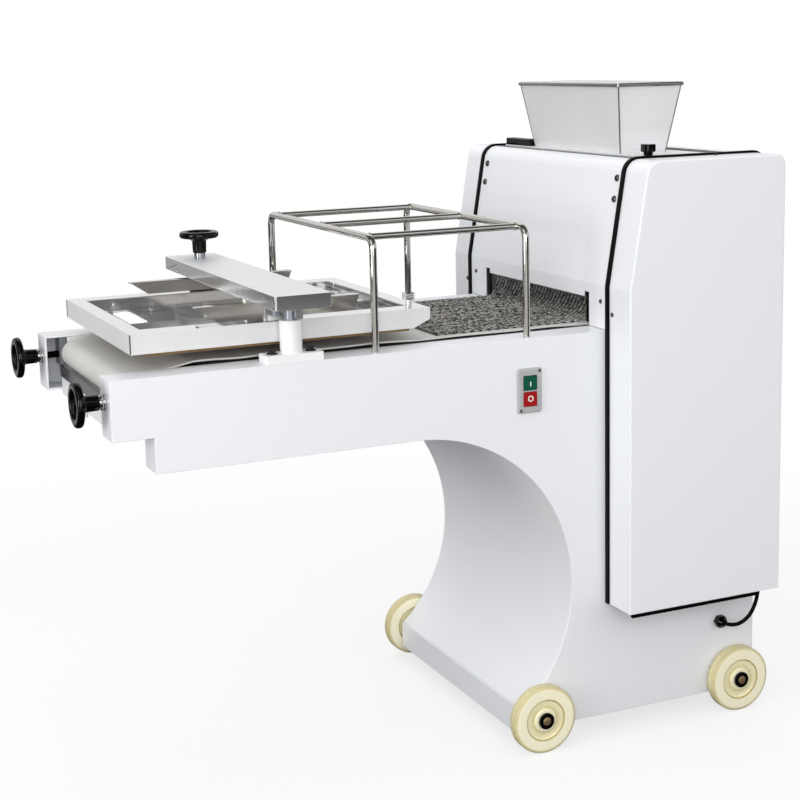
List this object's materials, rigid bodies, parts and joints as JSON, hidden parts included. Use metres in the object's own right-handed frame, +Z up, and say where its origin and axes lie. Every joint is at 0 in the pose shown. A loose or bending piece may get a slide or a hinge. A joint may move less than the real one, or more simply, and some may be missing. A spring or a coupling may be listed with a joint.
{
  "type": "bread moulder",
  "caption": "Floor-standing bread moulder: hopper, sheeting rollers, curling net, flat belt on open arms, height-adjustable pressure board, tube guard and nylon wheels.",
  "frame": {"origin": "centre of the overall box at floor level, under the wheels", "axes": "+X along the table towards the head, +Y away from the switch side, +Z up"},
  "size_m": [1.224, 0.652, 1.126],
  "materials": {
    "white_paint": "cool white powder coat, satin",
    "stainless": "satin stainless sheet",
    "polished_steel": "mirror polished stainless",
    "zinc_steel": "bluish zinc plate",
    "dark_steel": "blackened steel",
    "black_plastic": "glossy moulded black",
    "black_rubber": "extruded edge rubber",
    "white_nylon": "white turned plastic",
    "cream_nylon": "cast nylon, slightly yellowed",
    "belt_cloth": "off-white coated woven belting",
    "net_wire": "linked spring-steel wire",
    "brown_pad": "golden-brown coated felt",
    "roller_plastic": "white turned plastic sleeve",
    "drum_metal": "turned",
    "drive_steel": "oiled steel",
    "cast_grey": "painted casting",
    "grey_plastic": "moulded grey",
    "green_plastic": "moulded green",
    "red_plastic": "moulded red"
  },
  "bodies": {
    "frame": {"near_side_frame": "white_paint", "far_side_frame": "white_paint", "arch_panel": "white_paint", "base_floor": "white_paint", "rear_panel": "white_paint", "head_front_panel": "white_paint", "table_end_panel": "white_paint", "near_side_cover": "white_paint", "far_side_cover": "white_paint", "top_plate": "stainless", "hopper": "stainless", "arm_rails": "stainless", "belt_bed": "stainless", "guard_hinge_blocks": "stainless", "net_rod": "zinc_steel", "machine_screws": "dark_steel", "nose_scraper": "dark_steel", "wheel_axles": "dark_steel", "hopper_switch": "black_plastic", "cable_glands": "black_plastic", "cover_rubber": "black_rubber", "power_lead": "black_rubber", "doorway_strips": "black_rubber", "guide_posts": "white_nylon", "conveyor_belt": "belt_cloth", "curling_net": "net_wire", "drive_chain": "drive_steel", "shaft_bearings": "cast_grey", "gear_motor": "cast_grey", "switch_bezel": "grey_plastic"},
    "guard": {"safety_guard": "polished_steel"},
    "press_unit": {"crossbar": "polished_steel", "guide_rods": "zinc_steel", "pressure_frame": "polished_steel", "pressure_pad": "brown_pad"},
    "height_adjuster": {"height_knob": "black_plastic", "height_screw": "zinc_steel"},
    "near_guide": {"near_side_guide": "polished_steel"},
    "far_guide": {"far_side_guide": "polished_steel"},
    "tail_carriage": {"tail_blocks": "cast_grey"},
    "tail_roller": {"tail_roller": "drum_metal"},
    "near_tensioner": {"near_tension_knob": "black_plastic", "near_tension_screw": "zinc_steel"},
    "far_tensioner": {"far_tension_knob": "black_plastic", "far_tension_screw": "zinc_steel"},
    "drum": {"drive_drum": "drum_metal", "drum_sprocket": "drive_steel"},
    "front_roller": {"front_roller": "roller_plastic", "front_roller_gear": "drive_steel"},
    "rear_roller": {"rear_roller": "roller_plastic", "rear_roller_gear": "drive_steel", "roller_sprocket": "drive_steel"},
    "motor_drive": {"motor_sprocket": "drive_steel"},
    "near_front_wheel": {"near_front_wheel": "cream_nylon"},
    "near_rear_wheel": {"near_rear_wheel": "cream_nylon"},
    "far_front_wheel": {"far_front_wheel": "cream_nylon"},
    "far_rear_wheel": {"far_rear_wheel": "cream_nylon"},
    "start_button": {"start_button": "green_plastic"},
    "stop_button": {"stop_button": "red_plastic"},
    "hopper_clamp": {"hopper_knob": "black_plastic"}
  },
  "joints": [
    {"name": "guard_swing", "type": "hinge", "parent": "frame", "child": "guard", "pos_m": [0.0065, 0.235, 0.7265], "axis": [-1, 0, 0], "range_deg": [0, 90]},
    {"name": "press_lift", "type": "slide", "parent": "frame", "child": "press_unit", "axis": [0, 0, 1], "range_m": [-0.008, 0.012]},
    {"name": "height_knob_turn", "type": "hinge", "parent": "press_unit", "child": "height_adjuster", "pos_m": [-0.27, 0.23, 0.829], "axis": [0, 0, 1], "range_deg": [-962, 1442]},
    {"name": "near_guide_slide", "type": "slide", "parent": "press_unit", "child": "near_guide", "axis": [0, 1, 0], "range_m": [-0.05, 0.045]},
    {"name": "far_guide_slide", "type": "slide", "parent": "press_unit", "child": "far_guide", "axis": [0, 1, 0], "range_m": [-0.06, 0.002]},
    {"name": "belt_slacken", "type": "slide", "parent": "frame", "child": "tail_carriage", "axis": [1, 0, 0], "range_m": [0, 0.006]},
    {"name": "near_tension_turn", "type": "hinge", "parent": "frame", "child": "near_tensioner", "pos_m": [-0.564, -0.218, 0.681], "axis": [1, 0, 0], "range_deg": [-1236, 0]},
    {"name": "far_tension_turn", "type": "hinge", "parent": "frame", "child": "far_tensioner", "pos_m": [-0.564, 0.218, 0.681], "axis": [1, 0, 0], "range_deg": [-1236, 0]},
    {"name": "tail_roller_spin", "type": "hinge", "parent": "tail_carriage", "child": "tail_roller", "pos_m": [-0.514, 0, 0.685], "axis": [0, 1, 0], "continuous": true},
    {"name": "rear_roller_spin", "type": "hinge", "parent": "frame", "child": "rear_roller", "pos_m": [0.472, 0, 0.905], "axis": [0, 1, 0], "continuous": true},
    {"name": "front_roller_spin", "type": "hinge", "parent": "frame", "child": "front_roller", "pos_m": [0.374, 0, 0.905], "axis": [0, 1, 0], "continuous": true},
    {"name": "drum_spin", "type": "hinge", "parent": "frame", "child": "drum", "pos_m": [0.486, 0, 0.69], "axis": [0, 1, 0], "continuous": true},
    {"name": "motor_spin", "type": "hinge", "parent": "frame", "child": "motor_drive", "pos_m": [0.396, 0, 0.33], "axis": [0, 1, 0], "continuous": true},
    {"name": "start_press", "type": "slide", "parent": "frame", "child": "start_button", "axis": [0, 1, 0], "range_m": [0, 0.003], "stiffness_N_per_m": 600},
    {"name": "stop_press", "type": "slide", "parent": "frame", "child": "stop_button", "axis": [0, 1, 0], "range_m": [0, 0.003], "stiffness_N_per_m": 600},
    {"name": "hopper_clamp_turn", "type": "hinge", "parent": "frame", "child": "hopper_clamp", "pos_m": [0.382, -0.23, 1.005], "axis": [0, 0, 1], "range_deg": [0, 720]},
    {"name": "near_front_wheel_spin", "type": "hinge", "parent": "frame", "child": "near_front_wheel", "pos_m": [0.152, 0, 0.059], "axis": [0, 1, 0], "continuous": true},
    {"name": "near_rear_wheel_spin", "type": "hinge", "parent": "frame", "child": "near_rear_wheel", "pos_m": [0.553, 0, 0.059], "axis": [0, 1, 0], "continuous": true},
    {"name": "far_front_wheel_spin", "type": "hinge", "parent": "frame", "child": "far_front_wheel", "pos_m": [0.152, 0, 0.059], "axis": [0, 1, 0], "continuous": true},
    {"name": "far_rear_wheel_spin", "type": "hinge", "parent": "frame", "child": "far_rear_wheel", "pos_m": [0.553, 0, 0.059], "axis": [0, 1, 0], "continuous": true}
  ],
  "couplings": [
    {"joint": "height_knob_turn", "follows": "press_lift", "rad_per_m": 2094.4},
    {"joint": "near_tension_turn", "follows": "belt_slacken", "rad_per_m": -3590.4},
    {"joint": "far_tension_turn", "follows": "belt_slacken", "rad_per_m": -3590.4},
    {"joint": "front_roller_spin", "follows": "rear_roller_spin", "ratio": -1},
    {"joint": "drum_spin", "follows": "rear_roller_spin", "ratio": 1},
    {"joint": "motor_spin", "follows": "rear_roller_spin", "ratio": 1},
    {"joint": "tail_roller_spin", "follows": "rear_roller_spin", "ratio": 1.3333}
  ]
}
